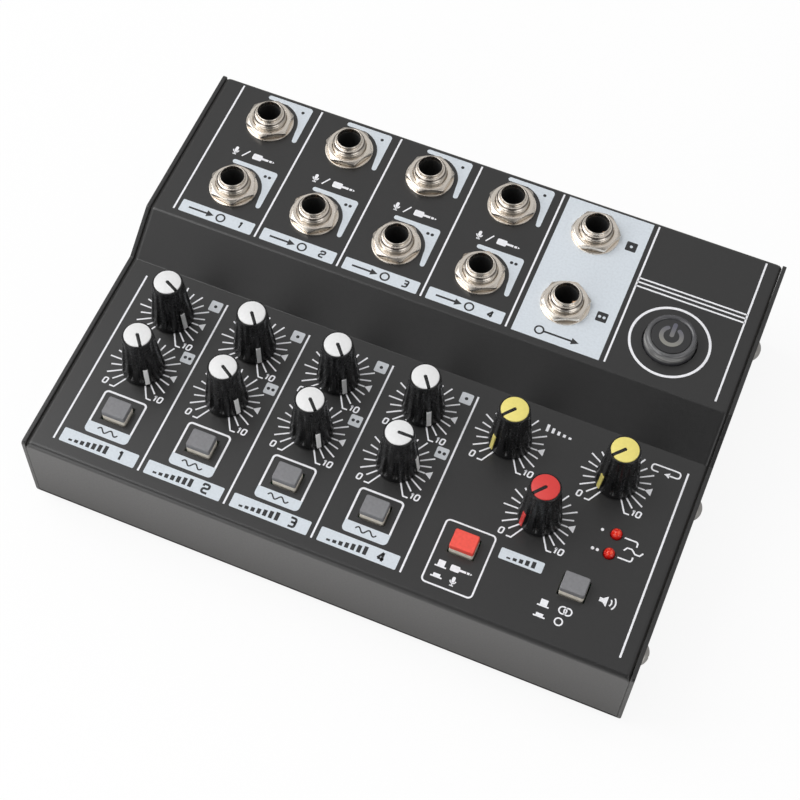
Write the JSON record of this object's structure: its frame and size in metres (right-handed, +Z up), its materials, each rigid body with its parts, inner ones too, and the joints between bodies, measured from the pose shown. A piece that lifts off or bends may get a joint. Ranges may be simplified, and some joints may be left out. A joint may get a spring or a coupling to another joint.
{
  "type": "mixing console",
  "caption": "Small desktop audio mixing console in a stepped folded-steel case with rotary volume knobs, push buttons, clip lamps, phone sockets and a power button.",
  "frame": {"origin": "on the supporting surface, under the middle of the outline", "axes": "+X to the player's right, +Y to the rear, +Z up"},
  "size_m": [0.1794, 0.1338, 0.0504],
  "materials": {
    "case_black": "satin black powder coat",
    "board_green": "solder mask",
    "plastic_black": "moulded black",
    "knob_black": "glossy black moulding",
    "cap_white": "satin white",
    "cap_yellow": "satin yellow",
    "cap_red": "satin red",
    "button_grey": "satin grey cap on an ivory plunger",
    "button_red": "red cap on an ivory plunger",
    "lens_smoke": "smoky translucent plastic",
    "lamp_red": "red tinted epoxy",
    "rubber_black": "matt rubber",
    "socket_nickel": "nickel-plated bushing on a plastic body",
    "nut_nickel": "nickel plate"
  },
  "bodies": {
    "console": {"top_cover": "case_black", "base_chassis": "case_black", "main_board": "board_green", "power_inlet": "plastic_black", "input_1a_jack": "socket_nickel", "input_1a_nut": "nut_nickel", "input_1b_jack": "socket_nickel", "input_1b_nut": "nut_nickel", "input_2a_jack": "socket_nickel", "input_2a_nut": "nut_nickel", "input_2b_jack": "socket_nickel", "input_2b_nut": "nut_nickel", "input_3a_jack": "socket_nickel", "input_3a_nut": "nut_nickel", "input_3b_jack": "socket_nickel", "input_3b_nut": "nut_nickel", "input_4a_jack": "socket_nickel", "input_4a_nut": "nut_nickel", "input_4b_jack": "socket_nickel", "input_4b_nut": "nut_nickel", "main_a_jack": "socket_nickel", "main_a_nut": "nut_nickel", "main_b_jack": "socket_nickel", "main_b_nut": "nut_nickel", "clip_led_a": "lamp_red", "clip_led_b": "lamp_red", "foot_front_left": "rubber_black", "foot_front_right": "rubber_black", "foot_rear_left": "rubber_black", "foot_rear_right": "rubber_black"},
    "volume_1a_knob": {"volume_1a_knob": "knob_black", "volume_1a_cap": "cap_white"},
    "volume_1b_knob": {"volume_1b_knob": "knob_black", "volume_1b_cap": "cap_white"},
    "volume_2a_knob": {"volume_2a_knob": "knob_black", "volume_2a_cap": "cap_white"},
    "volume_2b_knob": {"volume_2b_knob": "knob_black", "volume_2b_cap": "cap_white"},
    "volume_3a_knob": {"volume_3a_knob": "knob_black", "volume_3a_cap": "cap_white"},
    "volume_3b_knob": {"volume_3b_knob": "knob_black", "volume_3b_cap": "cap_white"},
    "volume_4a_knob": {"volume_4a_knob": "knob_black", "volume_4a_cap": "cap_white"},
    "volume_4b_knob": {"volume_4b_knob": "knob_black", "volume_4b_cap": "cap_white"},
    "delay_knob": {"delay_knob": "knob_black", "delay_cap": "cap_yellow"},
    "repeat_knob": {"repeat_knob": "knob_black", "repeat_cap": "cap_yellow"},
    "main_knob": {"main_knob": "knob_black", "main_cap": "cap_red"},
    "effects_button_1": {"effects_button_1": "button_grey"},
    "effects_button_2": {"effects_button_2": "button_grey"},
    "effects_button_3": {"effects_button_3": "button_grey"},
    "effects_button_4": {"effects_button_4": "button_grey"},
    "input_button": {"input_button": "button_red"},
    "stereo_button": {"stereo_button": "button_grey"},
    "power_button": {"power_button": "lens_smoke", "power_disc": "plastic_black"}
  },
  "joints": [
    {"name": "volume_1a_turn", "type": "hinge", "parent": "console", "child": "volume_1a_knob", "pos_m": [-0.069, -0.0132, 0.0324], "axis": [0, 0, -1], "range_deg": [-266, 34]},
    {"name": "volume_1b_turn", "type": "hinge", "parent": "console", "child": "volume_1b_knob", "pos_m": [-0.069, -0.032, 0.0324], "axis": [0, 0, -1], "range_deg": [-292, 8]},
    {"name": "volume_2a_turn", "type": "hinge", "parent": "console", "child": "volume_2a_knob", "pos_m": [-0.043, -0.0132, 0.0324], "axis": [0, 0, -1], "range_deg": [-292, 8]},
    {"name": "volume_2b_turn", "type": "hinge", "parent": "console", "child": "volume_2b_knob", "pos_m": [-0.043, -0.032, 0.0324], "axis": [0, 0, -1], "range_deg": [-272, 28]},
    {"name": "volume_3a_turn", "type": "hinge", "parent": "console", "child": "volume_3a_knob", "pos_m": [-0.017, -0.0132, 0.0324], "axis": [0, 0, -1], "range_deg": [-289, 11]},
    {"name": "volume_3b_turn", "type": "hinge", "parent": "console", "child": "volume_3b_knob", "pos_m": [-0.017, -0.032, 0.0324], "axis": [0, 0, -1], "range_deg": [-286, 14]},
    {"name": "volume_4a_turn", "type": "hinge", "parent": "console", "child": "volume_4a_knob", "pos_m": [0.009, -0.0132, 0.0324], "axis": [0, 0, -1], "range_deg": [-294, 6]},
    {"name": "volume_4b_turn", "type": "hinge", "parent": "console", "child": "volume_4b_knob", "pos_m": [0.009, -0.032, 0.0324], "axis": [0, 0, -1], "range_deg": [-240, 60]},
    {"name": "delay_turn", "type": "hinge", "parent": "console", "child": "delay_knob", "pos_m": [0.035, -0.0132, 0.0324], "axis": [0, 0, -1], "range_deg": [-10, 290]},
    {"name": "repeat_turn", "type": "hinge", "parent": "console", "child": "repeat_knob", "pos_m": [0.0664, -0.0132, 0.0324], "axis": [0, 0, -1], "range_deg": [-12, 288]},
    {"name": "main_turn", "type": "hinge", "parent": "console", "child": "main_knob", "pos_m": [0.0507, -0.032, 0.0324], "axis": [0, 0, -1], "range_deg": [-10, 290]},
    {"name": "effects_button_1_press", "type": "slide", "parent": "console", "child": "effects_button_1", "axis": [0, 0, -1], "range_m": [0, 0.002], "stiffness_N_per_m": 300},
    {"name": "effects_button_2_press", "type": "slide", "parent": "console", "child": "effects_button_2", "axis": [0, 0, -1], "range_m": [0, 0.002], "stiffness_N_per_m": 300},
    {"name": "effects_button_3_press", "type": "slide", "parent": "console", "child": "effects_button_3", "axis": [0, 0, -1], "range_m": [0, 0.002], "stiffness_N_per_m": 300},
    {"name": "effects_button_4_press", "type": "slide", "parent": "console", "child": "effects_button_4", "axis": [0, 0, -1], "range_m": [0, 0.002], "stiffness_N_per_m": 300},
    {"name": "input_button_press", "type": "slide", "parent": "console", "child": "input_button", "axis": [0, 0, -1], "range_m": [0, 0.002], "stiffness_N_per_m": 300},
    {"name": "stereo_button_press", "type": "slide", "parent": "console", "child": "stereo_button", "axis": [0, 0, -1], "range_m": [0, 0.002], "stiffness_N_per_m": 300},
    {"name": "power_button_press", "type": "slide", "parent": "console", "child": "power_button", "axis": [0, 0, -1], "range_m": [0, 0.002], "stiffness_N_per_m": 400}
  ]
}
